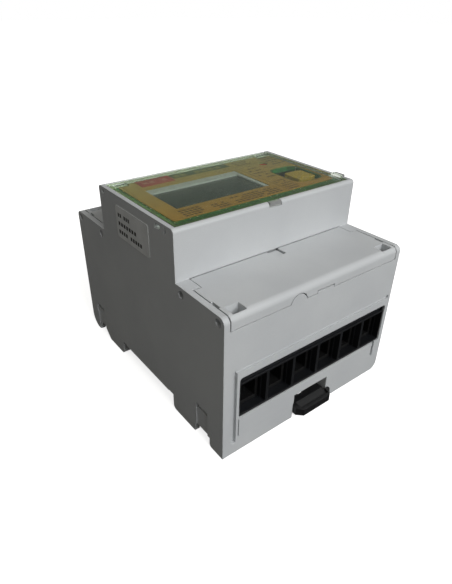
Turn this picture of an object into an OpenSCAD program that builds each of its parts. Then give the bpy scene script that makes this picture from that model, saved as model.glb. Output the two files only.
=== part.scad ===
// Four-module DIN-rail electricity meter: two-part case, two hinged terminal
// covers, a hinged clear window over the display, a sprung rail clip and two
// six-way lift-clamp terminal blocks. Lengths are millimetres. The meter lies
// on its back: +Z is the way the front looks, X runs along the rail and Y is
// up and down the wall, with the rail clip at the -Y end.
// Heights inside the modules are measured from the feet; place() lowers the
// finished shape so that the origin is the middle of the rail seat.

/* [Case] */
// Width along the rail: four modules of 18 mm
case_w = 72; // [72:1:73]
// Height on the wall
case_l = 90; // [90:1:92]
// Height of the raised front block, the 45 mm panel cut-out
front_l = 45; // [44.6:0.1:45.4]
// Front of the raised block above the feet
front_h = 66.5; // [66:0.1:68]
// Shoulders above the feet
shoulder_h = 50.5; // [50.3:0.1:51]
// Seam between the base and the main shell above the feet
seam_h = 6.2; // [6:0.1:6.6]
// Wall thickness of the shells
wall = 1.8; // [1.6:0.1:2]
// Radius of the shoulders' outer edges
shoulder_r = 2; // [1:0.1:2.4]
// Radius of the raised block's front edges
front_r = 1.2; // [0.6:0.1:1.4]

/* [Rail] */
// Rail seat above the feet
rail_z = 5.6; // [5.4:0.1:6]
// Width of the channel for the 35 mm rail
channel_w = 35.8; // [35.4:0.1:36.2]
// Half the width of the rail
rail_half = 17.5; // [17.4:0.05:17.6]
// Thickness of the rail's flange, with its clearance
flange_gap = 1.3; // [1.1:0.1:1.6]
// Half the width of the clip
clip_half = 7.1; // [6.6:0.1:7.2]

/* [Terminals] */
// Terminals at each end
terminal_count = 6; // [6:1:6]
// Distance between terminals
terminal_pitch = 10.7; // [10.5:0.05:10.7]
// Middle of the near terminal opening, off the case's middle
terminal_x = 2; // [1.8:0.1:2]
// Distance of the terminal screws from the case's middle
screw_y = 37.9; // [37.6:0.1:38]
// Radius of the screw's shank
screw_r = 1.9; // [1.7:0.05:1.9]
// Radial clearance of shafts that turn or slide in holes
running_gap = 0.06; // [0.04:0.01:0.08]

/* [Covers] */
// Distance of the cover hinges from the case's middle
hinge_y = 25.2; // [25.2:0.1:25.4]
// Height of the cover hinges above the feet
hinge_z = 48.1; // [48.1:0.1:48.2]
// Radius of the cover's hinge pins
hinge_pin_r = 1.2; // [1:0.05:1.3]
// Gap round a closed cover
cover_gap = 0.25; // [0.2:0.05:0.3]

/* [Display] */
// Top of the display board above the feet
board_top = 64.2; // [64.1:0.1:64.2]
// Thickness of the circuit boards
board_t = 1.6; // [1.5:0.1:1.6]
// Thickness of the clear window
window_t = 1.8; // [1.7:0.1:1.8]
// Distance of the window's hinge from the case's middle
window_hinge_y = 19.9; // [19.8:0.1:20]
// Middle of the push button, across and along
button_at = [27.6, -5.2]; // [-14:0.1:30]
// Middle of the pulse light, across and along
led_at = [24.4, 10.8]; // [-14:0.1:26]

/* [Hidden] */
$fn = 48;

half_w = case_w / 2;
half_l = case_l / 2;
half_f = front_l / 2;
inner_w = half_w - wall;

// Rail side
channel_half = channel_w / 2;
seat_half = 15;                     // half the width of the pad the rail rests on
seat_relief = 0.3;                  // how far the channel is cut back beside the pad
foot_inner = 30.5;                  // outer edge of the inner feet
end_foot = 39;                      // inner edge of the end feet
notch_top = 3.4;                    // height of the notches between the feet
floor_top = rail_z + wall;
snap_y = [-34.3, 36.1];             // middles of the snaps between the shells
clip_z = [2, 5.2];
clip_nose = 15.9;
clip_end = half_l + 3.2;
tab_right = 8.9;                    // the clip's tab is wider than its channel at one side

// Terminals: a lift clamp is a cage that a captive screw draws up to its bar
opening_w = 64.4;
opening_z = [13.6, 28.6];
block_z = [13, 43];
block_front = half_l - 0.4;
block_back = 30.4;
mouth_z = [14.4, 25.6];
pocket_top = 31.7;
seat_z = 33.6;                      // the screw heads rest just above this web
clamp_z = [14.6, 26.6];
clamp_half = [4.1, 3.7];
bar_z = [22.6, 23.8];
bar_half = 2.5;

// Covers
knuckle_r = shoulder_h - hinge_z;
cover_wide = inner_w - cover_gap - 0.2;
cover_narrow = 31.2;
cover_step = 28.5;                  // where the cover widens past its hinge bosses
cover_back = half_f + 0.22;         // its back edge, which sweeps a groove in the block's foot
cover_sweep = norm([hinge_y - cover_back, knuckle_r]) + 0.3;
step_sweep = norm([cover_step - 0.3 - hinge_y, shoulder_h - hinge_z]) + 0.2;
skirt_z = 46.3;
grip_x = -9.65;                     // middle of the round tongue under the grip
grip_r = 3.1;

// Boards
power_top = 14.2;
power_screws = [for (x = [-30, 30], y = [-25.5, 22.8]) [x, y, 0]];

// Display
window_z = [front_h - window_t, front_h];
window_hinge_z = window_z[0] + 0.2;
window_r = front_h - window_hinge_z;
window_half = 34.35;
window_near = 21;
rim_half = 34.6;
lcd_x = [-26.9, 10.4];
lcd_y = [-9.3, 10.5];
lcd_view_x = [-26, 8.7];
lcd_view_y = [-8.6, 6.9];
lcd_z = [61.9, 63.75];
label_x = [-31.5, 33.4];
label_y = [-15.9, 19.4];
recess_x = [19.8, 32.6];
recess_y = [-12.9, 4.2];
button_half = 4;

function terminal_at(i) = terminal_x + 0.2 + terminal_pitch * (i - (terminal_count - 1) / 2);

// ---- shared shapes ----

module place() { translate([0, 0, -rail_z]) children(); }

module far_end() { rotate([0, 0, 180]) children(); }

module box(lo, hi) { translate(lo) cube(hi - lo); }

// Extrudes an outline drawn in Y and Z from one X to another
module along_x(x) { translate([x[0], 0, 0]) rotate([90, 0, 90]) linear_extrude(x[1] - x[0]) children(); }

// Extrudes an outline drawn in X and Z from one Y to another
module along_y(y) { translate([0, y[1], 0]) rotate([90, 0, 0]) linear_extrude(y[1] - y[0]) children(); }

// Extrudes an outline drawn in X and Y from one Z to another
module along_z(z) { translate([0, 0, z[0]]) linear_extrude(z[1] - z[0]) children(); }

module mirrored_x() { children(); mirror([1, 0, 0]) children(); }

module rod_x(x, y, z, r) { translate([x[0], y, z]) rotate([0, 90, 0]) cylinder(h = x[1] - x[0], r = r); }

// A rectangle with round corners, from its low corner to its high corner
module round_rect(lo, hi, r) {
    translate([lo[0] + r, lo[1]]) square([hi[0] - lo[0] - 2 * r, hi[1] - lo[1]]);
    translate([lo[0], lo[1] + r]) square([hi[0] - lo[0], hi[1] - lo[1] - 2 * r]);
    for (x = [lo[0] + r, hi[0] - r], y = [lo[1] + r, hi[1] - r]) translate([x, y]) circle(r);
}

// An upright block seen from the side, with its two upper corners rounded
module topped_block(half, z, r) {
    translate([-half, z[0]]) square([2 * half, z[1] - z[0] - r]);
    translate([-half + r, z[0]]) square([2 * (half - r), z[1] - z[0]]);
    for (y = [-1, 1]) translate([y * (half - r), z[1] - r]) circle(r);
}

// The case's stepped outline, drawn in by the wall for its hollow
module stepped_outline(z0, inset) {
    topped_block(half_l - inset, [z0, shoulder_h - inset], max(shoulder_r - inset, 0.4));
    topped_block(half_f - inset, [z0, front_h - inset], max(front_r - inset, 0.4));
}

module chip(at, size, z) {
    box([at[0] - size[0] / 2, at[1] - size[1] / 2, z], [at[0] + size[0] / 2, at[1] + size[1] / 2, z + size[2]]);
}

// ---- case ----

// Underside seen from the side: rail channel, two inner feet and two end feet
module base_outline() {
    difference() {
        translate([-half_l, 0]) square([case_l, seam_h]);
        translate([-channel_half, -1]) square([channel_w, rail_z + 1]);
        foot_corner(channel_half, 1.6);
        mirror([1, 0]) foot_corner(channel_half, 1.6);
        foot_corner(38, 1.2);
        mirror([1, 0]) foot_corner(end_foot - 0.6, 1.2);
        translate([-end_foot + 0.6, -1]) square([end_foot - foot_inner - 0.6, notch_top + 1]);
        polygon([[foot_inner - 1, -1], [foot_inner - 1, 0], [33.4, notch_top + 0.4], [38, notch_top + 0.4],
                 [38, -1]]);
        difference() {
            translate([half_l - 5, -1]) square([6, 6]);
            translate([half_l - 5, 5]) circle(5);
        }
    }
}

// What is cut from a foot's lower inner corner to round it
module foot_corner(y, r) {
    difference() {
        translate([y - 0.1, -0.1]) square(r + 0.1);
        translate([y + r, r]) circle(r);
    }
}

module clip_channel() {
    box([-7.4, -half_l - 1, -1], [7.5, -channel_half + 1, rail_z + seat_relief]);
    box([-7.4, -half_l - 1, -1], [8, -40.5, 9.7]);
}

module rail_hook(x) {
    along_x([x - 6, x + 6]) polygon([[channel_half + 1.9, 0.6], [channel_half - 0.9, 1.8],
        [rail_half - 1.2, 2.8], [rail_half - 1.2, rail_z - flange_gap], [channel_half, rail_z - flange_gap],
        [channel_half, rail_z], [channel_half + 1.9, rail_z]]);
}

// A tongue on the base that snaps into a slot in the main shell's side
module snap_tongue(y) {
    box([-inner_w + 0.05, y - 2.6, seam_h - 2], [-inner_w + 1.3, y + 2.6, 12.7]);
    along_y([y - 2.6, y + 2.6]) polygon([[-inner_w + 0.1, 10.9], [-inner_w - 0.9, 10.9],
        [-inner_w + 0.1, 12.6]]);
}

module base_shell() place() color("gainsboro") {
    difference() {
        union() {
            difference() {
                along_x([-half_w, half_w]) base_outline();
                box([-inner_w, -half_l + wall, -1], [inner_w, -channel_half - wall, rail_z]);
                box([-inner_w, channel_half + wall, -1], [inner_w, half_l - wall, rail_z]);
            }
            box([-inner_w, -half_l + wall, rail_z], [inner_w, half_l - wall, floor_top]);
            for (y = [-foot_inner, foot_inner - wall]) box([-inner_w, y, 0.6], [inner_w, y + wall, rail_z]);
            // ribs beside the clip and the lips that hold it up
            mirrored_x() box([7.5, -half_l + wall, 0.6], [9, -channel_half - wall, rail_z]);
            mirrored_x() box([5.6, -half_l + 6, 0.6], [7.6, -22, 1.7]);
            for (x = [-20, 20]) rail_hook(x);
            // pads under the terminal blocks and bosses under the power board
            for (x = [-26, -13, 14, 27], y = [-40, 34]) box([x - 2, y, floor_top], [x + 2, y + 6, block_z[0]]);
            for (at = power_screws) translate(at + [0, 0, floor_top])
                cylinder(h = power_top - board_t - floor_top, r = 3);
            mirrored_x() for (y = snap_y) snap_tongue(y);
        }
        clip_channel();
        // the rail rests on a pad that stands clear of the hooks and the clip
        for (y = [-channel_half, seat_half])
            box([-half_w - 1, y, rail_z - 0.1], [half_w + 1, y + channel_half - seat_half, rail_z + seat_relief]);
        for (at = power_screws) translate(at + [0, 0, power_top - board_t - 4]) cylinder(h = 5, r = 1.1);
        // rounded bottom edge at one side
        along_y([-half_l - 1, half_l + 1]) difference() {
            translate([half_w - 3, -1]) square([4, 4]);
            translate([half_w - 3, 3]) circle(3);
        }
        box([-32.8, -half_l - 1, 4.3], [-31.2, -half_l + 1, seam_h + 1]);
        mirrored_x() for (y = snap_y) box([-half_w - 1, y - 3, -1], [-half_w + 0.4, y + 3, seam_h + 1]);
    }
}

// Opening for one cover: past the hinge bosses it is as wide as the hollow
module cover_opening() {
    box([-cover_narrow - 0.2, -cover_step - 0.5, hinge_z], [cover_narrow + 0.2, -half_f, shoulder_h + 0.01]);
    intersection() {
        rod_x([-cover_narrow - 0.2, cover_narrow + 0.2], -hinge_y, hinge_z, cover_sweep);
        box([-half_w, -half_l, 0], [half_w, half_l, shoulder_h]);
    }
    box([-inner_w + 0.1, -half_l - 1, skirt_z - cover_gap], [inner_w - 0.1, -cover_step + 0.3, shoulder_h + 0.01]);
}

module cover_tongues() {
    intersection() {
        along_y([-half_l, -half_l + wall]) union() {
            translate([grip_x, 45.5]) circle(grip_r);
            translate([-2.2, 45]) square([6.8, 1.75]);
        }
        box([-half_w, -half_l - 1, 44], [half_w, -half_l + 3, shoulder_h]);
    }
}

// Everything at one end of the main shell that is cut away
module end_cuts() {
    cover_opening();
    along_y([-half_l - 1, -half_l + wall + 1]) round_rect(
        [terminal_x - opening_w / 2, opening_z[0]], [terminal_x + opening_w / 2, opening_z[1]], 1);
    // seams round the plate that carries the terminal opening
    box([-32.8, -half_l - 1, seam_h - 1], [-31.2, -half_l + 1, 32.4]);
    box([31, -half_l - 1, 7.3], [32.2, -half_l + 0.9, opening_z[0] + 0.2]);
    box([-32.6, -half_l - 1, 31.1], [34.8, -half_l + 0.7, 32.4]);
    box([-30.4, -half_l - 1, seam_h - 1], [-30, -half_l + 0.4, 13]);
    mirrored_x() {
        rod_x([inner_w - 4, half_w + 1], -hinge_y, hinge_z, hinge_pin_r + running_gap);
        rod_x([inner_w - 1, half_w + 1], -42.4, 48.3, 1.25);
    }
}

module snap_slots() {
    for (y = snap_y) {
        box([-half_w - 1, y - 3, 10.7], [-inner_w + 1, y + 3, 12.9]);
        box([-half_w - 1, y - 3, seam_h - 1], [-half_w + 0.4, y + 3, 11]);
    }
}

module main_shell() place() color("whitesmoke") difference() {
    union() {
        difference() {
            along_x([-half_w, half_w]) stepped_outline(seam_h, 0);
            along_x([-inner_w, inner_w]) stepped_outline(seam_h - 1, wall);
            end_cuts();
            far_end() end_cuts();
        }
        cover_tongues();
        far_end() cover_tongues();
        for (turn = [0, 180]) rotate([0, 0, turn]) mirrored_x() difference() {
            box([cover_narrow + 0.2, -cover_step + 0.3, 45.6], [inner_w + 0.1, -half_f + 0.1, shoulder_h]);
            rod_x([inner_w - 4, half_w + 1], -hinge_y, hinge_z, hinge_pin_r + running_gap);
        }
    }
    // window opening, the notch for its pull tab and the one for its side lug
    box([-rim_half, -window_near - 0.15, window_z[0] - 0.3],
        [rim_half, window_hinge_y + window_r + 0.15, front_h + 1]);
    box([-2.2, -half_f - 1, front_h - 1.6], [2.8, -window_near, front_h + 1]);
    box([rim_half - 0.1, -18.8, front_h - 1.5], [half_w + 1, -13.9, front_h + 1]);
    // room for the window's knuckles, holes for its hinge pins, and the slots beside its catches
    rod_x([-rim_half, rim_half], window_hinge_y, window_hinge_z, window_r + 0.3);
    rod_x([-half_w - 1, half_w + 1], window_hinge_y, window_hinge_z, 0.8 + running_gap);
    mirrored_x() {
        box([-half_w - 1, -15.9, 64], [-inner_w + 1, -12.8, 65.3]);
        box([-half_w - 1, -18.7, 63.9], [-inner_w + 1, -17.9, 65.6]);
        snap_slots();
    }
    box([-7.15, -half_l - 1, seam_h - 1], [8, -40, 9.7]);
}

// Lid over one row of terminal screws, hinged on the shoulder's inner edge
module terminal_cover() {
    pocket_y = [-43.8, -40.2];
    difference() {
        union() {
            along_x([-cover_wide, cover_wide]) difference() {
                topped_block(half_l, [skirt_z, shoulder_h], shoulder_r);
                translate([-half_l + wall, skirt_z - 1]) square([case_l, shoulder_h - wall - skirt_z + 1]);
                translate([-cover_step, skirt_z - 1]) square([case_l, 10]);
                translate([-hinge_y, hinge_z]) circle(step_sweep);
            }
            along_x([-cover_narrow, cover_narrow]) {
                translate([-hinge_y, hinge_z]) circle(knuckle_r);
                translate([-cover_step - 1, shoulder_h - wall]) square([cover_step + 1 - cover_back, wall]);
            }
            rod_x([-inner_w + 0.1, inner_w - 0.1], -hinge_y, hinge_z, hinge_pin_r);
            mirrored_x() box([-33.2, pocket_y[0] - 0.2, skirt_z + 0.1], [-27, pocket_y[1] + 0.8, shoulder_h - 1]);
            for (x = [-16, 0, 16]) box([x - 0.5, -half_l + wall, shoulder_h - 3.2], [x + 0.5, -29, shoulder_h - 1]);
        }
        // grip notch and the slot beside it
        along_y([-half_l - 1, -half_l + wall + 0.1]) {
            translate([grip_x, 45.5]) circle(grip_r + 0.3);
            translate([-2.4, skirt_z - 1]) square([7.2, 1.9]);
        }
        // sealing pockets and the wire holes that lead into them
        for (x = [-32.4, 27.9]) along_y(pocket_y) polygon([[x, shoulder_h + 1], [x, shoulder_h - 0.2],
            [x + 2.1, 46.9], [x + 4.6, 46.9], [x + 4.6, shoulder_h + 1]]);
        rod_x([-cover_wide - 1, -29], -42.4, 48.3, 0.8);
        rod_x([31, cover_wide + 1], -42.4, 48.3, 0.8);
        mirrored_x() box([-cover_wide - 1, -39.6, shoulder_h - wall - 1],
            [-cover_wide + 0.6, -36.2, shoulder_h + 1]);
        box([-2.6, -26.7, shoulder_h - 0.5], [2.2, -22, shoulder_h + 1]);
        box([1.7, -26.7, shoulder_h - 1.6], [2.2, -22, shoulder_h + 1]);
    }
}

module near_cover() place() color("whitesmoke") terminal_cover();

module far_cover() place() color("whitesmoke") far_end() terminal_cover();

// ---- rail clip ----

module rail_clip() place() color("dimgray") difference() {
    intersection() {
        along_x([-clip_half, tab_right]) polygon([[-clip_end, clip_z[0]], [-clip_nose - 2.2, clip_z[0]],
            [-clip_nose, 3], [-clip_nose, rail_z - flange_gap - 0.1], [-rail_half - 0.8, rail_z - flange_gap - 0.1],
            [-rail_half - 0.8, clip_z[1]], [-half_l - 0.4, clip_z[1]], [-clip_end, clip_z[1] - 0.6]]);
        along_z([0, 8]) polygon([[-clip_half, 0], [-clip_half, -clip_end + 2], [-clip_half + 2, -clip_end],
            [tab_right - 2, -clip_end], [tab_right, -clip_end + 2], [tab_right, -half_l - 0.4],
            [clip_half, -half_l - 0.4], [clip_half, 0]]);
    }
    // finger scoop that slopes down to the tab's lip, and the screwdriver slot behind it
    along_x([-clip_half + 1.6, tab_right - 1.6]) polygon([[-half_l + 0.6, clip_z[1] + 1],
        [-half_l + 0.6, clip_z[1] - 0.2], [-clip_end + 1, clip_z[1] - 1.6], [-clip_end + 1, clip_z[1] + 1]]);
    box([-2.2, -42, clip_z[0] - 1], [2.2, -38, clip_z[1] + 1]);
    // grooves that leave the two moulded spring arms free
    mirrored_x() box([4.2, -34, clip_z[0] - 1], [4.9, -22, clip_z[1] + 1]);
}

// ---- terminals ----

module terminal_block() {
    x0 = terminal_x - opening_w / 2 + 0.1;
    x1 = terminal_x + opening_w / 2 - 0.1;
    difference() {
        union() {
            box([x0, -half_l + wall + 0.1, block_z[0]], [x1, -block_back, block_z[1]]);
            along_y([-block_front, -half_l + wall + 0.2])
                round_rect([x0, opening_z[0] + 0.1], [x1, opening_z[1] - 0.1], 1);
        }
        // the upper lip of the front frame stands back from the cell walls
        box([x0 + 0.8, -block_front - 1, mouth_z[1] + 0.7], [x1 - 0.8, -block_front + 0.9, opening_z[1] + 1]);
        for (i = [0:terminal_count - 1]) translate([terminal_at(i), 0, 0]) {
            box([-4.85, -block_front - 1, mouth_z[0]], [4.85, -42.4, mouth_z[1]]);
            box([-4.55, -42.5, mouth_z[0]], [4.55, -33.2, pocket_top]);
            box([-bar_half - 0.05, -34, bar_z[0] - 0.05], [bar_half + 0.05, -block_back + 1, bar_z[1] + 0.05]);
            translate([0, -screw_y, pocket_top - 1]) cylinder(h = 4, r = screw_r + running_gap);
            translate([0, -screw_y, seat_z]) cylinder(h = 20, r = 3.4);
        }
    }
}

module near_terminal_block() place() color("dimgray") terminal_block();

module far_terminal_block() place() color("dimgray") far_end() terminal_block();

module terminal_screw(i) translate([terminal_at(i - 1), -screw_y, 0]) difference() {
    union() {
        translate([0, 0, bar_z[1] + 0.2]) cylinder(h = seat_z + 0.1 - bar_z[1], r = screw_r);
        translate([0, 0, seat_z + 0.05]) cylinder(h = 2.5, r = 3);
    }
    box([-4, -0.45, seat_z + 1.2], [4, 0.45, seat_z + 4]);
    box([-0.45, -1.9, seat_z + 1.2], [0.45, 1.9, seat_z + 4]);
}

module lift_clamp(i) translate([terminal_at(i - 1), -screw_y, 0]) difference() {
    along_y([-clamp_half[1], clamp_half[1]])
        round_rect([-clamp_half[0], clamp_z[0]], [clamp_half[0], clamp_z[1]], 0.8);
    box([-clamp_half[0] + 1, -5, clamp_z[0] + 1.2], [clamp_half[0] - 1, 5, clamp_z[1] - 2.2]);
    translate([0, 0, clamp_z[1] - 3]) cylinder(h = 4, r = screw_r + 0.05);
}

module near_screw(i) place() color("silver") terminal_screw(i);

module near_clamp(i) place() color("silver") lift_clamp(i);

module far_screw(i) place() color("silver") far_end() terminal_screw(i);

module far_clamp(i) place() color("silver") far_end() lift_clamp(i);

// A flat bar from a clamp to the inside of the case
module terminal_bar(i, inner_y) {
    translate([terminal_at(i), 0, 0]) box([-bar_half, -41.9, bar_z[0]], [bar_half, -inner_y, bar_z[1]]);
}

// Each phase loops from one terminal through its transformer to the next
module current_busbars() place() color("peru") for (i = [0:2:terminal_count - 2]) {
    terminal_bar(i, 8);
    terminal_bar(i + 1, 8);
    box([terminal_at(i) - bar_half, -10.4, bar_z[0]], [terminal_at(i + 1) + bar_half, -8, bar_z[1]]);
}

module voltage_busbars() place() color("peru") far_end() for (i = [0:terminal_count - 1]) {
    terminal_bar(i, 26.5);
    translate([terminal_at(i), 0, 0]) box([-bar_half, -27.7, power_top], [bar_half, -26.5, bar_z[1]]);
}

// ---- boards and what is on them ----

module power_board() place() color("seagreen") difference() {
    box([-33.6, -29.6, power_top - board_t], [33.6, 29.6, power_top]);
    for (at = power_screws) translate(at) cylinder(h = 40, r = 1.3);
}

module display_board() place() color("seagreen") difference() {
    box([-33.9, -20.4, board_top - board_t], [33.9, label_y[1], board_top]);
    mirrored_x() box([-35, 17.9, 60], [-27.4, 30, 70]);
    box([lcd_x[0], lcd_y[0], 60], [lcd_x[1], lcd_y[1], 70]);
    along_z([60, 70]) round_rect([recess_x[0] + 0.6, recess_y[0] + 0.6], [recess_x[1] - 0.6, recess_y[1] - 0.6], 3);
    translate([led_at[0], led_at[1], 60]) cylinder(h = 10, r = 1.55);
}

module switch_board() place() color("seagreen")
    box([17, -15, 57], [33.9, 6.6, 57 + board_t]);

module riser_board() place() color("seagreen")
    box([-33.9, -8, power_top], [-33.9 + board_t, 16, board_top - board_t]);

module riser_connectors() place() color("black") for (z = [power_top, board_top - board_t - 3])
    box([-32.3, -6, z], [-30, 14, z + 3]);

module board_screws() place() color("silver") for (at = power_screws) translate(at) {
    difference() {
        translate([0, 0, power_top]) cylinder(h = 1.5, r = 2.4);
        box([-3, -0.3, power_top + 0.7], [3, 0.3, power_top + 3]);
    }
    translate([0, 0, power_top - 5.2]) cylinder(h = 5.3, r = 1.05);
}

// Potted ring transformers, one round the first bar of each phase
module current_transformers() place() color("royalblue") for (i = [0:2:terminal_count - 2])
    translate([terminal_at(i), 0, 0]) along_y([-22, -13]) difference() {
        union() {
            translate([0, 23.2]) circle(7.3);
            translate([-6, power_top]) square([12, 9]);
        }
        translate([0, 23.2]) circle(3.2);
    }

module supply_transformer() place() color("gold") {
    chip([-20, 13], [15, 14, 2], power_top);
    chip([-20, 13], [12, 11, 13], power_top + 2);
    chip([-20, 13], [15, 14, 2], power_top + 15);
}

module supply_capacitors() place() color("darkslategray") for (at = [[-3, 17], [9.5, 17]])
    translate([at[0], at[1], power_top]) cylinder(h = 18, r = 5);

module surge_varistors() place() color("cornflowerblue") for (i = [0:2])
    translate([-21.5 + 11.5 * i, -2.5, power_top + 6]) rotate([90, 0, 0]) cylinder(h = 3.4, r = 5);

module metering_chip() place() color("black") chip([16, -1.5], [9, 9, 1.5], power_top);

module pulse_opto() place() color("black") for (x = [-3, 8]) chip([x, 5.5], [6.5, 4.6, 3.4], power_top);

module backup_battery() place() color("silver") translate([24, 13, power_top]) {
    cylinder(h = 1.2, r = 8.6);
    translate([0, 0, 1.2]) cylinder(h = 2.8, r = 8.2);
}

module processor_chip() place() color("black") chip([16.9, 12], [9, 9, 1.4], board_top - board_t - 1.4);

module clock_crystal() place() color("silver") chip([28.5, 15.5], [7, 3, 2], board_top - board_t - 2);

// ---- display ----

module lcd_frame() place() color("silver") difference() {
    union() {
        box([lcd_x[0] + 0.1, lcd_y[0] + 0.1, 58], [lcd_x[1] - 0.1, lcd_y[1] - 0.1, board_top]);
        box([lcd_x[0] - 1.6, lcd_y[0] - 1.6, 58], [lcd_x[1] + 1.6, lcd_y[1] + 1.6, board_top - board_t]);
    }
    box([lcd_view_x[0], lcd_view_y[0], 57], [lcd_view_x[1], lcd_view_y[1], 70]);
    box([lcd_view_x[0] - 0.4, lcd_view_y[0] - 0.4, 57], [lcd_view_x[1] + 0.4, lcd_view_y[1] + 0.4, lcd_z[1]]);
    box([lcd_view_x[0] + 1, lcd_view_y[1] + 0.9, 57], [lcd_view_x[1] - 1, lcd_view_y[1] + 3, 61]);
}

module lcd_backlight() place() color("white")
    box([lcd_view_x[0] - 0.3, lcd_view_y[0] - 0.3, 58.4], [lcd_view_x[1] + 0.3, lcd_view_y[1] + 0.3, lcd_z[0]]);

module lcd_glass() place() color("darkslategray")
    box([lcd_view_x[0] - 0.3, lcd_view_y[0] - 0.3, lcd_z[0]], [lcd_view_x[1] + 0.3, lcd_view_y[1] + 0.3, lcd_z[1]]);

module lcd_contact_strip() place() color("dimgray")
    box([lcd_view_x[0] + 1.2, lcd_view_y[1] + 1.1, 58.4], [lcd_view_x[1] - 1.2, lcd_view_y[1] + 2.8, 60.9]);

module face_label() place() color("darkorange") along_z([board_top, board_top + 0.2]) difference() {
    round_rect([label_x[0], label_y[0]], [label_x[1], label_y[1]], 1);
    // the film overlaps the display frame at two of its sides
    translate([lcd_view_x[0], lcd_view_y[0]]) square([lcd_x[1] - lcd_view_x[0], lcd_y[1] - lcd_view_y[0]]);
    round_rect([recess_x[0], recess_y[0]], [recess_x[1], recess_y[1]], 3.4);
    translate(led_at) circle(1.8);
    for (x = [-31, 31]) translate([x, 18.9]) square([7.4, 2.4], center = true);
}

module badge_plate() place() color("firebrick") along_z([board_top + 0.2, board_top + 0.3])
    round_rect([-25, 13.3], [-12.4, 19.2], 0.4);

module pulse_led() place() color("red") translate([led_at[0], led_at[1], 0]) {
    translate([0, 0, 60.4]) cylinder(h = 3.6, r = 1.5);
    translate([0, 0, 60.4]) cylinder(h = 1.4, r = 2);
}

module tact_switch() place() color("black") difference() {
    chip(button_at, [6.2, 6.2, 3.4], 57 + board_t);
    translate([button_at[0], button_at[1], 59.4]) cylinder(h = 5, r = 1.75 + running_gap);
}

module button_cap() place() color("goldenrod") translate([button_at[0], button_at[1], 0]) {
    along_z([62.6, 63.9]) round_rect([-button_half, -button_half], [button_half, button_half], 0.8);
    translate([0, 0, 60.2]) cylinder(h = 2.5, r = 1.75);
}

// Clear lid over the whole display, hinged on its far edge
module window() place() color([0.85, 0.95, 0.9, 0.4]) {
    along_x([-window_half, window_half]) {
        translate([-window_near, window_z[0]]) square([window_near + window_hinge_y, window_t]);
        intersection() {
            translate([window_hinge_y, window_hinge_z]) circle(window_r);
            translate([window_hinge_y - 1, window_z[0]]) square([5, 5]);
        }
    }
    mirrored_x() {
        rod_x([27.8, window_half], window_hinge_y, window_hinge_z, window_r - 0.02);
        rod_x([window_half - 0.1, half_w - 0.5], window_hinge_y, window_hinge_z, 0.8);
    }
    box([-1.9, -half_f + 0.1, front_h - 1.4], [2.5, -window_near + 0.1, front_h]);
    box([window_half - 0.8, -18.4, front_h - 1.2], [half_w - 0.1, -14.3, front_h + 0.7]);
}

module side_label() place() color("silver")
    along_x([-half_w - 0.12, -half_w]) round_rect([-9, 52.5], [11.4, 63.2], 1);

// ---- the assembly ----

base_shell();
main_shell();
near_cover();
far_cover();
window();
button_cap();
rail_clip();
near_terminal_block();
far_terminal_block();
current_busbars();
voltage_busbars();
power_board();
display_board();
switch_board();
riser_board();
riser_connectors();
board_screws();
current_transformers();
supply_transformer();
supply_capacitors();
surge_varistors();
metering_chip();
pulse_opto();
backup_battery();
processor_chip();
clock_crystal();
lcd_frame();
lcd_backlight();
lcd_glass();
lcd_contact_strip();
face_label();
badge_plate();
pulse_led();
tact_switch();
side_label();
for (i = [1:6]) {
    near_screw(i);
    near_clamp(i);
    far_screw(i);
    far_clamp(i);
}
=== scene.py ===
"""Finishes, small pieces, lights and camera for a four-module electricity meter.

Everything is in metres in the model's own frame: X along the rail, Y up the
wall, Z out of the front, with the origin in the middle of the rail seat.
"""

import bmesh
import bpy
from mathutils import Matrix, Vector


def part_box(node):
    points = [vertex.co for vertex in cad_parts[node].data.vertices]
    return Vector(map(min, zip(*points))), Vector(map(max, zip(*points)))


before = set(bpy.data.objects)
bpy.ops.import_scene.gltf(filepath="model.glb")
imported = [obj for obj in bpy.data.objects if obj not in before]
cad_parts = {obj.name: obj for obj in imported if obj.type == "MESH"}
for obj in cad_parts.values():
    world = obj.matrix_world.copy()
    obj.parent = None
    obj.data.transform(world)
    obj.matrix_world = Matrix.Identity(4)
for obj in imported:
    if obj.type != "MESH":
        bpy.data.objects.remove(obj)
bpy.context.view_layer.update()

MM = 0.001
front_h = 60.9  # front of the case above the rail seat, in millimetres


# ---- finishes: nodes written as expressions ----


class Value:
    """A socket in a finish; arithmetic on it adds Math nodes."""

    def __init__(self, finish, socket):
        self.finish = finish
        self.socket = socket

    def _math(self, operation, *terms):
        return self.finish.node("Math", {"operation": operation}, dict(enumerate(terms)))

    def __add__(self, other):
        return self._math("ADD", self, other)

    __radd__ = __add__

    def __sub__(self, other):
        return self._math("SUBTRACT", self, other)

    def __rsub__(self, other):
        return self._math("SUBTRACT", other, self)

    def __mul__(self, other):
        return self._math("MULTIPLY", self, other)

    __rmul__ = __mul__

    def __truediv__(self, other):
        return self._math("DIVIDE", self, other)

    def __gt__(self, other):
        return self._math("GREATER_THAN", self, other)

    def __lt__(self, other):
        return self._math("LESS_THAN", self, other)

    def __abs__(self):
        return self._math("ABSOLUTE", self)

    def floor(self):
        return self._math("FLOOR", self)

    def fraction(self):
        return self._math("FRACT", self)

    def least(self, other):
        return self._math("MINIMUM", self, other)

    def most(self, other):
        return self._math("MAXIMUM", self, other)


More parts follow.
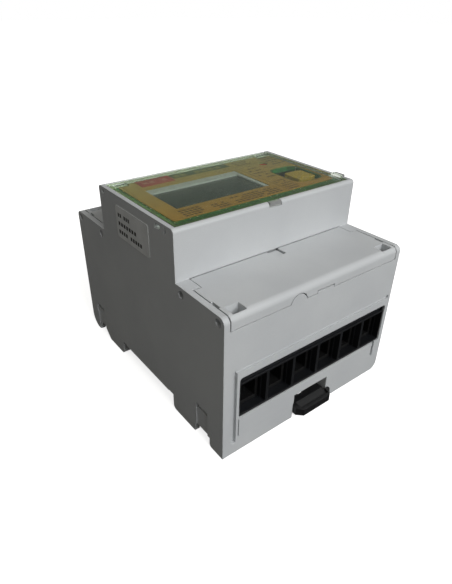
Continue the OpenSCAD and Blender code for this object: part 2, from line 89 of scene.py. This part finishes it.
class Finish:
    """One material, built from nodes on the piece's own coordinates."""

    def __init__(self, name):
        self.material = bpy.data.materials.new(name)
        self.material.use_nodes = True
        self.tree = self.material.node_tree
        self.tree.nodes.clear()
        self.at = self.node("TexCoord", out="Object")
        self.x = self.node("SeparateXYZ", values={0: self.at}, out=0)
        self.y = Value(self, self.x.socket.node.outputs[1])
        self.z = Value(self, self.x.socket.node.outputs[2])

    def node(self, kind, settings=None, values=None, out=0):
        made = self.tree.nodes.new("ShaderNode" + kind)
        for name, setting in (settings or {}).items():
            setattr(made, name, setting)
        for name, value in (values or {}).items():
            if isinstance(value, Value):
                self.tree.links.new(value.socket, made.inputs[name])
            else:
                made.inputs[name].default_value = value
        return Value(self, made.outputs[out]) if made.outputs else None

    def noise(self, size, detail=2.0, rough=0.5, stretch=None):
        """Noise whose blobs are `size` metres across, stretched along one way if asked."""
        where = self.at
        if stretch:
            where = self.node("Mapping", values={"Vector": self.at, "Scale": stretch})
        return self.node(
            "TexNoise",
            values={"Vector": where, "Scale": 1 / size, "Detail": detail, "Roughness": rough},
        )

    def cells(self, size, randomness=1.0, out="Distance"):
        return self.node(
            "TexVoronoi",
            values={"Vector": self.at, "Scale": 1 / size, "Randomness": randomness},
            out=out,
        )

    def blend(self, share, first, second):
        """Colour `first` where share is 0 and `second` where it is 1."""
        made = self.tree.nodes.new("ShaderNodeMix")
        made.data_type = "RGBA"
        for socket, value in zip((made.inputs[0], made.inputs[6], made.inputs[7]), (share, first, second)):
            if isinstance(value, Value):
                self.tree.links.new(value.socket, socket)
            else:
                socket.default_value = value
        return Value(self, made.outputs[2])

    def level(self, value, low, high, to_low=0.0, to_high=1.0):
        return self.node(
            "MapRange",
            {"clamp": True},
            {"Value": value, "From Min": low, "From Max": high, "To Min": to_low, "To Max": to_high},
        )

    def patch(self, u, v, low, high, soft=0.00006):
        """1 inside the rectangle from low to high (mm) and 0 outside, with soft edges."""
        inside_u = ((high[0] - low[0]) / 2 * MM - abs(u - (low[0] + high[0]) / 2 * MM)) / soft
        inside_v = ((high[1] - low[1]) / 2 * MM - abs(v - (low[1] + high[1]) / 2 * MM)) / soft
        return inside_u.least(inside_v).most(0.0).least(1.0)

    def bars(self, u, v, low, high, pitch, height, length, gap=0.35, seed=0.0):
        """Rows of plain dashes of uneven length that stand in for print."""
        row = ((v - low[1] * MM) / (pitch * MM)).floor()
        in_row = ((v - low[1] * MM) / (pitch * MM)).fraction() < height / pitch
        slot = self.node(
            "TexWhiteNoise",
            {"noise_dimensions": "2D"},
            {
                "Vector": self.node(
                    "CombineXYZ",
                    values={0: ((u - low[0] * MM) / (length * MM)).floor() + seed, 1: row},
                )
            },
        )
        dash = ((u - low[0] * MM) / (length * MM)).fraction() < (1 - gap)
        return in_row * dash * (slot > 0.12) * self.patch(u, v, low, high)

    def bump(self, height, distance, strength=1.0, edge=0.0):
        values = {"Height": height, "Distance": distance, "Strength": strength}
        if edge:
            values["Normal"] = self.node("Bevel", {"samples": 4}, {"Radius": edge})
        return self.node("Bump", values=values)

    def done(self, **sockets):
        """Ends the finish with one Principled shader; names are its sockets'."""
        shader = self.node("BsdfPrincipled", values={k.replace("_", " "): v for k, v in sockets.items()})
        self.node("OutputMaterial", values={"Surface": shader})
        return self.material


def grey(value, alpha=1.0):
    return (value, value, value, alpha)


def case_plastic():
    """Light grey polycarbonate with a fine eroded texture and rubbed edges."""
    f = Finish("case_grey_plastic")
    cloud = f.noise(0.022, 3.0)
    fine = f.noise(0.00035, 3.0, 0.6)
    smudge = f.level(f.noise(0.009, 4.0, 0.6), 0.55, 0.75)
    tone = f.blend(f.level(cloud, 0.35, 0.65), (0.545, 0.56, 0.575, 1), (0.585, 0.60, 0.61, 1))
    tone = f.blend(f.level(fine, 0.45, 0.75, 0.0, 0.22), tone, (0.50, 0.515, 0.525, 1))
    tone = f.blend(smudge * 0.06, tone, (0.42, 0.42, 0.41, 1))
    return f.done(
        Base_Color=tone,
        Roughness=f.level(fine + 0.35 * smudge, 0.3, 1.0, 0.46, 0.60),
        Normal=f.bump(fine, 0.00003, 0.5, edge=0.00022),
    )


def black_plastic(name, tone, fleck, shine):
    """Black moulded plastic: fine grain, a few pale scuffs and soft flow marks."""
    f = Finish(name)
    fine = f.noise(0.0003, 3.0, 0.6)
    flow = f.noise(0.006, 2.0, 0.5, (1.0, 0.35, 1.0))
    scuff = f.level(f.noise(0.0011, 5.0, 0.75), 0.66, 0.74)
    colour = f.blend(f.level(flow, 0.35, 0.65), tone, fleck)
    colour = f.blend(scuff * 0.25, colour, grey(0.10))
    return f.done(
        Base_Color=colour,
        Roughness=f.level(fine, 0.3, 0.7, shine, shine + 0.12),
        Normal=f.bump(fine, 0.00002, 0.5, edge=0.00018),
    )


def zinc_plate():
    """Zinc-plated steel, lathe marks on the round parts and a slight yellow pass."""
    f = Finish("zinc_plated_steel")
    fine = f.noise(0.00018, 3.0, 0.6)
    tarnish = f.noise(0.0022, 3.0)
    colour = f.blend(f.level(tarnish, 0.4, 0.65), (0.66, 0.66, 0.64, 1), (0.56, 0.54, 0.47, 1))
    rings = f.noise(0.0001, 1.0, 0.4, (0.15, 0.15, 1.0))
    return f.done(
        Base_Color=colour,
        Metallic=1.0,
        Roughness=f.level(fine + tarnish, 0.7, 1.3, 0.24, 0.42),
        Normal=f.bump(fine * 0.5 + rings * 0.5, 0.000012, 0.5, edge=0.00012),
    )


def clamp_black():
    """Black-passivated steel, rubbed back to bare metal along the edges."""
    f = Finish("clamp_black_steel")
    fine = f.noise(0.0003, 3.0, 0.6)
    rub = f.level(f.noise(0.0016, 4.0, 0.7), 0.56, 0.72)
    colour = f.blend(rub * 0.5, grey(0.03), grey(0.13))
    return f.done(
        Base_Color=colour,
        Metallic=0.8,
        Roughness=f.level(fine, 0.3, 0.7, 0.34, 0.50),
        Normal=f.bump(fine, 0.000012, 0.5, edge=0.00015),
    )


def brass_bar():
    f = Finish("tinned_brass")
    drawn = f.noise(0.0003, 3.0, 0.6, (1.0, 0.04, 1.0))
    stain = f.level(f.noise(0.003, 4.0), 0.45, 0.7)
    colour = f.blend(stain * 0.6, (0.70, 0.53, 0.27, 1), (0.42, 0.27, 0.12, 1))
    return f.done(
        Base_Color=colour,
        Metallic=1.0,
        Roughness=f.level(drawn, 0.3, 0.7, 0.25, 0.42),
        Normal=f.bump(drawn, 0.00001, 0.4, edge=0.00015),
    )


def circuit_green():
    """Green solder mask over copper tracks, with vias and tinned pads."""
    f = Finish("circuit_board_green")
    weave = f.node(
        "TexWave",
        {"wave_type": "BANDS", "bands_direction": "X"},
        {"Vector": f.at, "Scale": 420.0, "Distortion": 2.0},
    )
    cell = ((f.x / (1.27 * MM)).floor(), (f.y / (5.08 * MM)).floor())
    pick = f.node(
        "TexWhiteNoise",
        {"noise_dimensions": "2D"},
        {"Vector": f.node("CombineXYZ", values={0: cell[0], 1: cell[1]})},
    )
    lane = abs((f.x / (1.27 * MM)).fraction() - 0.5) < 0.2
    track = lane * (pick > 0.45)
    across = (abs((f.y / (2.54 * MM)).fraction() - 0.5) < 0.1) * (pick < 0.45)
    copper = (track + across).least(1.0)
    hole = f.node(
        "VectorMath",
        {"operation": "LENGTH"},
        {
            0: f.node(
                "CombineXYZ",
                values={
                    0: (f.x / (2.54 * MM)).fraction() - 0.5,
                    1: (f.y / (2.54 * MM)).fraction() - 0.5,
                },
            )
        },
        out="Value",
    )
    via = (hole < 0.12) * (pick > 0.7)
    mask = f.blend(f.noise(0.004, 2.0), (0.014, 0.092, 0.022, 1), (0.021, 0.12, 0.031, 1))
    colour = f.blend(copper * 0.5, mask, (0.045, 0.24, 0.065, 1))
    colour = f.blend(via, colour, (0.75, 0.72, 0.62, 1))
    return f.done(
        Base_Color=colour,
        Roughness=f.level(weave, 0.0, 1.0, 0.28, 0.38),
        Metallic=via * 0.8,
        Normal=f.bump(copper + 0.1 * weave, 0.000035, 0.5),
    )


def label_film():
    """Printed film over the display: amber ground that turns olive towards the far
    edge as a painted reflection of the window's haze, a light bar beside the badge and plain dashes where
    print would be."""
    f = Finish("face_label_print")
    x, y = f.x, f.y
    # painted reflection: the ground turns olive towards the far edge, standing in for the haze the window
    # above it reflects
    painted_haze_share = f.level(y, -0.017, 0.019)
    mottle = f.noise(0.0035, 4.0, 0.6)
    amber = f.blend(mottle, (0.40, 0.205, 0.030, 1), (0.33, 0.165, 0.024, 1))
    olive = f.blend(mottle, (0.36, 0.27, 0.075, 1), (0.29, 0.23, 0.065, 1))
    colour = f.blend(painted_haze_share, amber, olive)
    title = f.patch(x, y, (-12.1, 15.0), (12.0, 19.2))
    colour = f.blend(title, colour, (0.045, 0.075, 0.03, 1))
    colour = f.blend(
        f.bars(x, y, (-11.0, 15.8), (11.4, 18.6), 2.8, 2.2, 2.9, 0.3), colour, (0.22, 0.20, 0.06, 1)
    )
    ink = (0.014, 0.011, 0.006, 1)
    rows = (
        ((-26.9, -15.1), (-19.4, -9.9), 1.35, 0.75, 1.5, 3.0),
        ((-16.2, -15.1), (-10.6, -11.1), 1.35, 0.75, 1.3, 7.0),
        ((-8.0, -15.1), (10.8, -9.9), 1.35, 0.7, 1.7, 11.0),
        ((13.2, -15.0), (18.6, -6.4), 1.6, 0.7, 1.2, 13.0),
        ((13.6, -2.2), (19.0, 11.3), 2.6, 0.9, 1.6, 17.0),
        ((14.6, 13.8), (21.3, 18.6), 1.6, 0.8, 1.4, 19.0),
        ((26.9, 8.0), (32.6, 18.0), 2.1, 0.9, 1.5, 23.0),
    )
    for low, high, pitch, tall, long, seed in rows:
        colour = f.blend(f.bars(x, y, low, high, pitch, tall, long, 0.22, seed) * 0.95, colour, ink)
    line = f.patch(x, y, (12.3, -15.4), (12.6, 14.3)) + f.patch(x, y, (12.5, 12.8), (32.6, 13.05))
    colour = f.blend(line.least(1.0) * 0.75, colour, ink)
    return f.done(
        Base_Color=colour,
        Roughness=f.level(mottle, 0.3, 0.7, 0.32, 0.44),
        Coat_Weight=0.2,
        Normal=f.bump(f.noise(0.0004, 2.0), 0.000006, 0.5),
    )


def badge_print():
    """The red badge: plain, with one pale stripe."""
    f = Finish("badge_red_print")
    shade = f.noise(0.003, 3.0)
    colour = f.blend(shade, (0.36, 0.06, 0.045, 1), (0.28, 0.045, 0.035, 1))
    stripe = f.bars(f.x, f.y, (-23.4, 15.1), (-14.0, 17.7), 2.6, 1.9, 2.4, 0.25, 5.0)
    colour = f.blend(stripe * 0.6, colour, (0.42, 0.26, 0.19, 1))
    return f.done(Base_Color=colour, Roughness=f.level(shade, 0.3, 0.7, 0.3, 0.42))


def silver_label():
    """Silver foil with three rows of plain dashes."""
    f = Finish("side_label_foil")
    grain = f.noise(0.0006, 3.0, 0.6, (1.0, 0.2, 1.0))
    cloud = f.noise(0.006, 2.0)
    colour = f.blend(f.level(cloud, 0.35, 0.65), (0.74, 0.75, 0.75, 1), (0.84, 0.85, 0.85, 1))
    v = f.z + 5.6 * MM
    for low, high, pitch, tall, long, seed in (
        ((-4.6, 54.0), (10.0, 55.5), 3.0, 1.3, 1.5, 3.0),
        ((-1.8, 56.8), (10.0, 58.3), 3.0, 1.3, 1.7, 9.0),
        ((2.4, 59.6), (10.0, 61.1), 3.0, 1.3, 1.3, 15.0),
    ):
        colour = f.blend(
            f.bars(f.y * -1.0, v, (-high[0], low[1]), (-low[0], high[1]), pitch, tall, long, 0.3, seed),
            colour,
            grey(0.03),
        )
    return f.done(
        Base_Color=colour,
        Metallic=0.15,
        Roughness=f.level(grain, 0.3, 0.7, 0.30, 0.45),
        Normal=f.bump(grain, 0.000008, 0.4),
    )


def clear_window():
    """Clear moulded lid that bends what is seen through it. Lamps shine through;
    the thin strips along its edges and hinge barrel get a painted green glow, a green tint and a green
    diffuse share that stand in for the light they gather."""
    f = Finish("clear_window")
    x, y, z = f.x, f.y, f.z
    lid_depth = 2.6
    half_width = 0.0343
    near_edge = -0.0211
    in_lid = (z > (front_h - lid_depth) * MM) * (abs(x) < half_width)
    rim_x = f.level(x * -1.0, 0.0330, 0.0334).most(f.level(x, 0.0336, 0.0339))
    rim_y = f.level(y * -1.0, 0.0201, 0.0204)
    barrel = f.level(y, 0.0186, 0.0192)
    rim = rim_x.most(rim_y).most(barrel) * in_lid * (y > near_edge)
    hair = f.level(f.noise(0.0009, 4.0, 0.7, (0.12, 1.0, 1.0)), 0.62, 0.70)
    haze = f.noise(0.008, 3.0)
    clear = f.blend(haze, (0.93, 0.965, 0.92, 1), (0.90, 0.95, 0.89, 1))
    # painted glow: the lid's colour turns green along its rim and hinge barrel
    lid = f.node(
        "BsdfPrincipled",
        values={
            "Base Color": f.blend(rim, clear, (0.66, 0.80, 0.52, 1)),
            "Roughness": f.level(haze + 0.3 * hair, 0.3, 0.9, 0.0, 0.05),
            "IOR": 1.58,
            "Transmission Weight": 1.0,
            "Normal": f.bump(hair + 0.3 * haze, 0.000002, 0.3),
        },
    )
    # painted highlight: the pull tab and the side lug get a pale diffuse share that stands in for the light
    # thick clear mouldings catch
    grips = (y < -0.0212).most(abs(x) > 0.0345)
    # painted glow: the diffuse colour is green at the rim and silvery green at the hinge barrel
    painted_edge_glow = f.blend(barrel, (0.30, 0.37, 0.20, 1), (0.42, 0.45, 0.35, 1))
    haze_and_painted_glow = f.node(
        "BsdfPrincipled",
        values={
            "Base Color": f.blend(grips, painted_edge_glow, grey(0.52)),
            "Roughness": 1.0,
            "Specular IOR Level": 0.0,
        },
    )
    # the diffuse share is real haze and hairline scratches over the lid, and painted glow and highlight at
    # rim, barrel, tab and lug
    share = rim * 0.22 + barrel * in_lid * 0.14 + grips * (0.34 + 0.3 * haze) + hair * 0.03 + 0.012
    body = f.node("MixShader", values={0: share, 1: lid, 2: haze_and_painted_glow})
    lamp = f.node("BsdfTransparent", values={"Color": (0.90, 0.94, 0.89, 1)})
    shadow = f.node("LightPath", out="Is Shadow Ray")
    surface = f.node("MixShader", values={0: shadow, 1: body, 2: lamp})
    f.node("OutputMaterial", values={"Surface": surface})
    return f.material


def display_glass():
    """Dark display glass with a faint grid of unlit segments."""
    f = Finish("display_glass")
    ghost = f.bars(f.x, f.y, (-23.0, -4.8), (5.8, 2.6), 7.4, 7.0, 3.9, 0.25, 2.0)
    colour = f.blend(f.noise(0.01, 2.0), (0.045, 0.055, 0.05, 1), (0.06, 0.07, 0.062, 1))
    colour = f.blend(ghost * 0.05, colour, (0.02, 0.025, 0.02, 1))
    return f.done(
        Base_Color=colour,
        Roughness=f.level(f.noise(0.002, 2.0), 0.3, 0.7, 0.14, 0.22),
        Coat_Weight=0.3,
    )


def button_yellow():
    f = Finish("button_yellow_plastic")
    fine = f.noise(0.0005, 3.0)
    colour = f.blend(f.noise(0.003, 2.0), (0.46, 0.31, 0.04, 1), (0.38, 0.25, 0.03, 1))
    return f.done(
        Base_Color=colour,
        Roughness=f.level(fine, 0.3, 0.7, 0.22, 0.34),
        Normal=f.bump(fine, 0.000012, 0.4, edge=0.00035),
    )


def plain_moulding(name, light, dark, shine, grain=0.0005):
    """A moulded or dipped part with uneven tone and a fine skin."""
    f = Finish(name)
    fine = f.noise(grain, 3.0, 0.6)
    colour = f.blend(f.noise(grain * 9, 3.0), light, dark)
    return f.done(
        Base_Color=colour,
        Roughness=f.level(fine, 0.3, 0.7, shine, shine + 0.14),
        Normal=f.bump(fine, 0.00002, 0.5, edge=0.0003),
    )


def wound_tape():
    """Yellow tape in overlapping turns."""
    f = Finish("transformer_tape")
    turn = (f.z / (1.9 * MM)).fraction()
    lap = f.level(turn, 0.0, 0.12)
    crease = f.noise(0.0012, 3.0, 0.6, (1.0, 1.0, 0.3))
    colour = f.blend(lap, (0.56, 0.38, 0.04, 1), (0.80, 0.60, 0.09, 1))
    return f.done(
        Base_Color=colour,
        Roughness=f.level(crease, 0.3, 0.7, 0.28, 0.42),
        Normal=f.bump(lap + crease * 0.3, 0.00006, 0.5, edge=0.0003),
    )


def light_diffuser():
    f = Finish("light_guide_white")
    dots = f.level(f.cells(0.0009, 0.0), 0.2, 0.3)
    colour = f.blend(dots, grey(0.86), grey(0.76))
    return f.done(
        Base_Color=colour,
        Roughness=f.level(dots, 0.0, 1.0, 0.30, 0.45),
        Normal=f.bump(dots, 0.00001, 0.4),
    )


def indicator_red():
    f = Finish("indicator_red_epoxy")
    depth = f.noise(0.0012, 2.0)
    colour = f.blend(depth, (0.60, 0.05, 0.04, 1), (0.42, 0.025, 0.02, 1))
    return f.done(
        Base_Color=colour,
        Roughness=f.level(depth, 0.3, 0.7, 0.08, 0.16),
        Coat_Weight=0.4,
        Normal=f.bump(depth, 0.00002, 0.3),
    )


case = case_plastic()
clip_black = black_plastic("clip_black_plastic", (0.004, 0.004, 0.0045, 1), (0.007, 0.007, 0.0075, 1), 0.38)
terminal_black = black_plastic(
    "terminal_black_plastic", (0.0035, 0.004, 0.005, 1), (0.007, 0.008, 0.010, 1), 0.40
)
steel = zinc_plate()
clamp = clamp_black()
brass = brass_bar()
board = circuit_green()
label = label_film()
badge = badge_print()
foil = silver_label()
window_clear = clear_window()
lcd_dark = display_glass()
yellow = button_yellow()
moulded_black = plain_moulding("component_black", grey(0.028), grey(0.016), 0.42)
potting = plain_moulding("potting_blue", (0.07, 0.15, 0.42, 1), (0.05, 0.11, 0.32, 1), 0.40)
varistor = plain_moulding("varistor_blue", (0.09, 0.25, 0.58, 1), (0.06, 0.18, 0.45, 1), 0.22)
sleeve = plain_moulding("capacitor_sleeve", (0.03, 0.035, 0.06, 1), (0.018, 0.02, 0.04, 1), 0.20)
frame_grey = plain_moulding("display_frame_grey", (0.40, 0.42, 0.40, 1), (0.34, 0.36, 0.34, 1), 0.42)
tape = wound_tape()
diffuser = light_diffuser()
led_red = indicator_red()
strip_rubber = plain_moulding("contact_rubber", grey(0.24), grey(0.18), 0.60)

FINISHES = {
    "base_shell": case,
    "main_shell": case,
    "near_cover": case,
    "far_cover": case,
    "window": window_clear,
    "button_cap": yellow,
    "rail_clip": clip_black,
    "near_terminal_block": terminal_black,
    "far_terminal_block": terminal_black,
    "current_busbars": brass,
    "voltage_busbars": brass,
    "power_board": board,
    "display_board": board,
    "switch_board": board,
    "riser_board": board,
    "riser_connectors": moulded_black,
    "board_screws": steel,
    "current_transformers": potting,
    "supply_transformer": tape,
    "supply_capacitors": sleeve,
    "surge_varistors": varistor,
    "metering_chip": moulded_black,
    "pulse_opto": moulded_black,
    "backup_battery": steel,
    "processor_chip": moulded_black,
    "clock_crystal": steel,
    "lcd_frame": frame_grey,
    "lcd_backlight": diffuser,
    "lcd_glass": lcd_dark,
    "lcd_contact_strip": strip_rubber,
    "face_label": label,
    "badge_plate": badge,
    "pulse_led": led_red,
    "tact_switch": moulded_black,
    "side_label": foil,
}
for end in ("near", "far"):
    for i in range(1, 7):
        FINISHES[f"{end}_screw_{i}"] = steel
        FINISHES[f"{end}_clamp_{i}"] = clamp

for node, finish in FINISHES.items():
    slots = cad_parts[node].material_slots
    for slot in slots:
        slot.material = finish


# ---- stage ----

floor_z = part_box("base_shell")[0].z


def make_floor():
    mesh = bmesh.new()
    bmesh.ops.create_grid(mesh, x_segments=1, y_segments=1, size=3.0)
    bmesh.ops.translate(mesh, verts=mesh.verts, vec=(0, 0, floor_z))
    data = bpy.data.meshes.new("studio_floor")
    mesh.to_mesh(data)
    mesh.free()
    made = bpy.data.objects.new("studio_floor", data)
    bpy.context.scene.collection.objects.link(made)
    f = Finish("studio_floor")
    pale = f.node("BsdfDiffuse", values={"Color": grey(0.92)})
    reach = f.node("VectorMath", {"operation": "LENGTH"}, {0: f.at}, out="Value")
    # painted shade: the floor glows less within a few centimetres of the object, so it is darker round the
    # object
    painted_shade_glow_near = f.node("Emission", values={"Color": grey(1.0), "Strength": 0.78})
    glow_far = f.node("Emission", values={"Color": grey(1.0), "Strength": 0.99})
    glow = f.node("MixShader", values={0: f.level(reach, 0.07, 0.26), 1: painted_shade_glow_near, 2: glow_far})
    dim = f.node("BsdfDiffuse", values={"Color": grey(0.10)})
    seen = f.node("AddShader", values={0: pale, 1: glow})
    looking = f.node("LightPath", out="Is Camera Ray").most(f.node("LightPath", out="Is Transmission Ray"))
    f.node("OutputMaterial", values={"Surface": f.node("MixShader", values={0: looking, 1: dim, 2: seen})})
    data.materials.append(f.material)


def make_world():
    world = bpy.data.worlds.new("studio_surround")
    bpy.context.scene.world = world
    world.use_nodes = True
    tree = world.node_tree
    tree.nodes.clear()
    out = tree.nodes.new("ShaderNodeOutputWorld")
    rays = tree.nodes.new("ShaderNodeLightPath")
    shown = out.inputs[0]
    # gloss meets a wall that is dim where the window mirrors it and bright higher up
    way = tree.nodes.new("ShaderNodeTexCoord")
    split = tree.nodes.new("ShaderNodeSeparateXYZ")
    rise = tree.nodes.new("ShaderNodeValToRGB")
    tree.links.new(way.outputs["Generated"], split.inputs[0])
    tree.links.new(split.outputs[2], rise.inputs[0])
    stops = ((0.0, 0.30), (0.22, 0.16), (0.29, 0.115), (0.40, 0.055), (0.52, 0.08), (0.80, 0.40))
    while len(rise.color_ramp.elements) < len(stops):
        rise.color_ramp.elements.new(0.5)
    for element, (position, value) in zip(rise.color_ramp.elements, stops):
        element.position = position
        element.color = grey(value)
    # what a camera, a gloss and everything else meets; the gloss has the wall's strength
    for ray, colour, strength in (
        ("Is Camera Ray", grey(1.0), 1.0),
        ("Is Glossy Ray", (0.97, 1.0, 0.98, 1), None),
        (None, (1.0, 0.97, 0.89, 1), 0.20),
    ):
        back = tree.nodes.new("ShaderNodeBackground")
        back.inputs[0].default_value = colour
        if strength is None:
            tree.links.new(rise.outputs[0], back.inputs[1])
        else:
            back.inputs[1].default_value = strength
        if ray is None:
            tree.links.new(back.outputs[0], shown)
            break
        mix = tree.nodes.new("ShaderNodeMixShader")
        tree.links.new(rays.outputs[ray], mix.inputs[0])
        tree.links.new(back.outputs[0], mix.inputs[2])
        tree.links.new(mix.outputs[0], shown)
        shown = mix.inputs[1]


def make_light(name, place, target, size, power, colour=(1, 1, 1)):
    data = bpy.data.lights.new(name, "AREA")
    data.shape = "RECTANGLE"
    data.size, data.size_y = size
    data.energy = power
    data.color = colour
    made = bpy.data.objects.new(name, data)
    made.location = place
    made.rotation_mode = "QUATERNION"
    made.rotation_quaternion = (Vector(target) - Vector(place)).to_track_quat("-Z", "Y")
    bpy.context.scene.collection.objects.link(made)


def make_camera():
    data = bpy.data.cameras.new("camera")
    data.sensor_width = 36.0
    data.sensor_fit = "AUTO"
    data.lens = 29.695
    data.clip_start, data.clip_end = 0.01, 10.0
    made = bpy.data.objects.new("camera", data)
    right = Vector((0.79421, -0.6075, 0.01341))
    down = Vector((-0.30614, -0.4191, -0.85477))
    ahead = Vector((0.52489, 0.67476, -0.51883))
    turn = Matrix((right, -down, -ahead)).transposed().to_4x4()
    made.matrix_world = Matrix.Translation((-0.09557, -0.12205, 0.11234)) @ turn
    bpy.context.scene.collection.objects.link(made)
    bpy.context.scene.camera = made


make_floor()
make_world()
make_light("key_window", (0.12, -0.84, 0.60), (0, 0, 0.02), (0.8, 0.5), 8.4, (0.985, 0.995, 1.0))
make_light("top_soft", (0.25, 0.10, 0.95), (0, 0, 0.02), (0.9, 0.9), 0.5, (0.97, 0.985, 1.0))
make_camera()
bpy.context.scene.view_settings.view_transform = "Standard"
